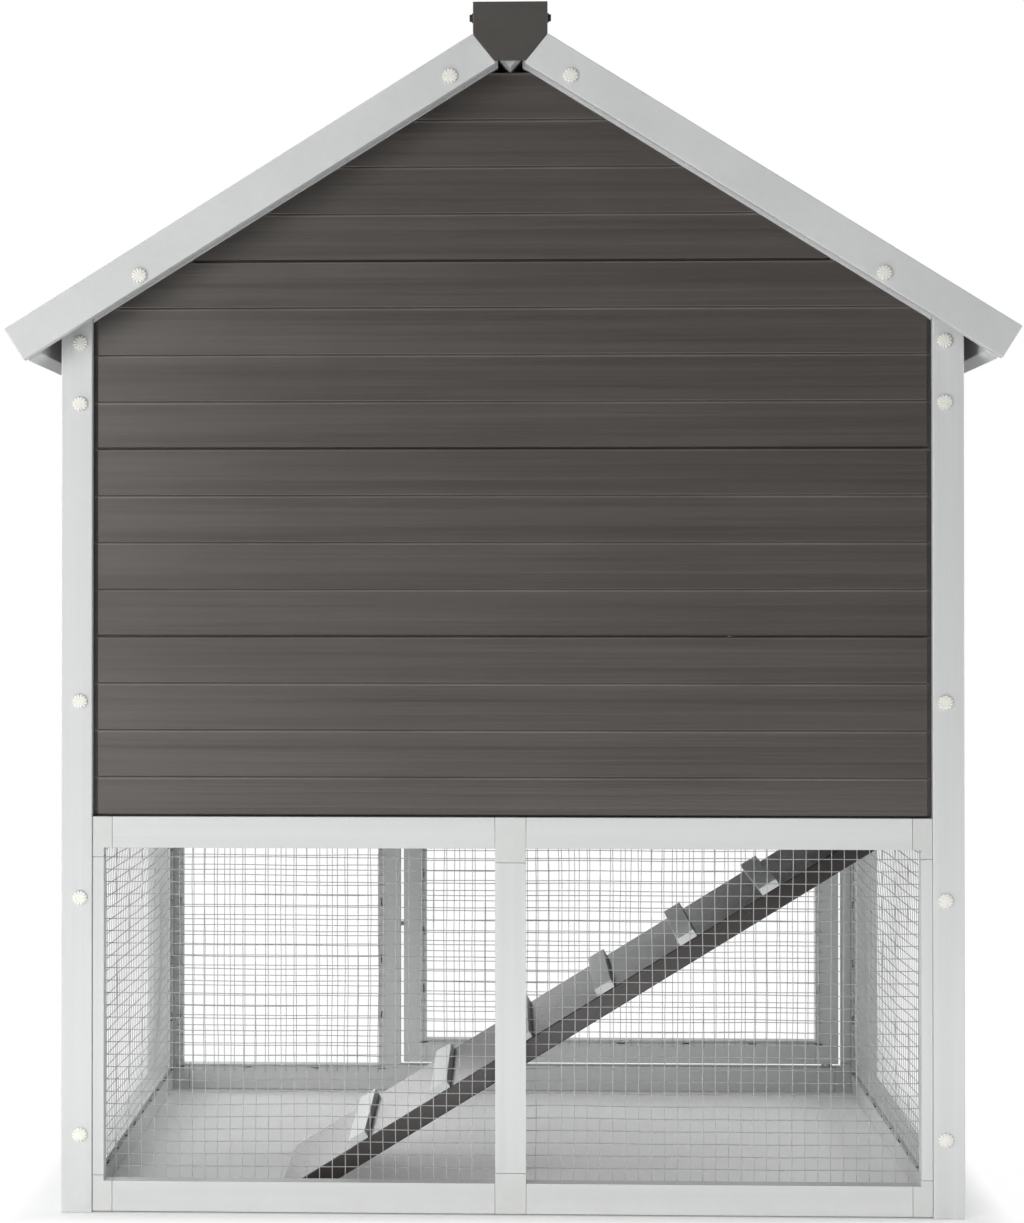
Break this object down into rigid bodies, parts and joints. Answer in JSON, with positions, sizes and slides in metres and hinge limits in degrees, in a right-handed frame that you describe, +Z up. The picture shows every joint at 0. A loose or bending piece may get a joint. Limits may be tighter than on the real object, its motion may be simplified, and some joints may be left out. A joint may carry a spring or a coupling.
{
  "type": "chicken coop",
  "caption": "Gable-roofed composite chicken coop: a boarded house with a floor, nests and roost over an open-bottomed wire-mesh run, with an inner ramp and pivoting front doors.",
  "frame": {"origin": "middle of the footprint at ground level, under the centre of the roof's outline", "axes": "+Z up, +X to the right when facing the plain boarded gable (towards the ramp's upper end), +Y from the plain gable to the gable with the doors"},
  "size_m": [0.995, 0.8508, 1.194],
  "materials": {
    "trim": "pale wood-plastic composite, satin",
    "rails": "pale wood-plastic composite, satin",
    "caps": "off-white moulded plastic",
    "connectors": "pale moulded plastic",
    "siding": "dark warm grey wood-plastic composite, satin",
    "roof": "dark grey composite sheet",
    "ridge": "dark grey moulded plastic",
    "floor": "dark grey composite board",
    "ramp": "dark grey composite board",
    "cleats": "pale composite strip",
    "roost": "turned softwood",
    "wire": "galvanised steel wire",
    "black_steel": "black coated steel",
    "bright_steel": "zinc plated steel"
  },
  "bodies": {
    "coop": {"post_back_left": "trim", "post_back_right": "trim", "post_front_left": "trim", "post_front_right": "trim", "back_siding_low": "siding", "back_siding_mid": "siding", "back_siding_high": "siding", "back_siding_gable": "siding", "left_siding": "siding", "right_siding": "siding", "front_siding_sides": "siding", "front_siding_gable": "siding", "house_door_casing": "rails", "back_run_rails": "rails", "back_run_stiles": "rails", "back_run_connectors": "connectors", "back_run_mesh": "wire", "left_run_frame": "rails", "left_run_mesh": "wire", "right_run_frame": "rails", "right_run_mesh": "wire", "side_run_connectors": "connectors", "front_run_rails": "rails", "front_run_stiles": "rails", "front_run_connectors": "connectors", "front_run_mesh": "wire", "roof_panel_left": "roof", "roof_panel_right": "roof", "eave_rails": "rails", "bargeboard_back_left": "trim", "bargeboard_back_right": "trim", "bargeboard_front_left": "trim", "bargeboard_front_right": "trim", "gable_rafters": "rails", "ridge_beam": "rails", "ridge_cap": "ridge", "ridge_end_plates": "ridge", "ridge_screws": "black_steel", "post_screw_caps": "caps", "barge_screw_caps": "caps", "house_floor": "floor", "house_floor_strips": "floor", "floor_ledgers": "rails", "roost_bar": "roost", "roost_brackets": "rails", "nest_boards": "rails", "door_pivots": "bright_steel", "bolt_keepers": "black_steel", "ramp_hinge_base": "black_steel"},
    "run_door": {"run_door_frame": "rails", "run_door_mesh": "wire", "run_bolt_plate": "black_steel"},
    "run_door_bolt": {"run_bolt": "bright_steel"},
    "house_door": {"house_door_frame": "rails", "house_door_panel": "siding", "house_bolt_plate": "black_steel"},
    "house_door_bolt": {"house_bolt": "bright_steel"},
    "ramp": {"ramp_board": "ramp", "ramp_cleats": "cleats", "ramp_hinge_leaves": "black_steel"}
  },
  "joints": [
    {"name": "run_door_swing", "type": "hinge", "parent": "coop", "child": "run_door", "pos_m": [0.3864, 0.37, 0.2], "axis": [0, 0, -1], "range_deg": [0, 105]},
    {"name": "run_bolt_slide", "type": "slide", "parent": "run_door", "child": "run_door_bolt", "axis": [-1, 0, 0], "range_m": [0, 0.01]},
    {"name": "house_door_swing", "type": "hinge", "parent": "coop", "child": "house_door", "pos_m": [0.2525, 0.37, 0.6], "axis": [0, 0, -1], "range_deg": [0, 105]},
    {"name": "house_bolt_slide", "type": "slide", "parent": "house_door", "child": "house_door_bolt", "axis": [-1, 0, 0], "range_m": [0, 0.01]},
    {"name": "ramp_lift", "type": "hinge", "parent": "coop", "child": "ramp", "pos_m": [0.3977, -0.176, 0.4016], "axis": [0, 1, 0], "range_deg": [0, 25]}
  ]
}
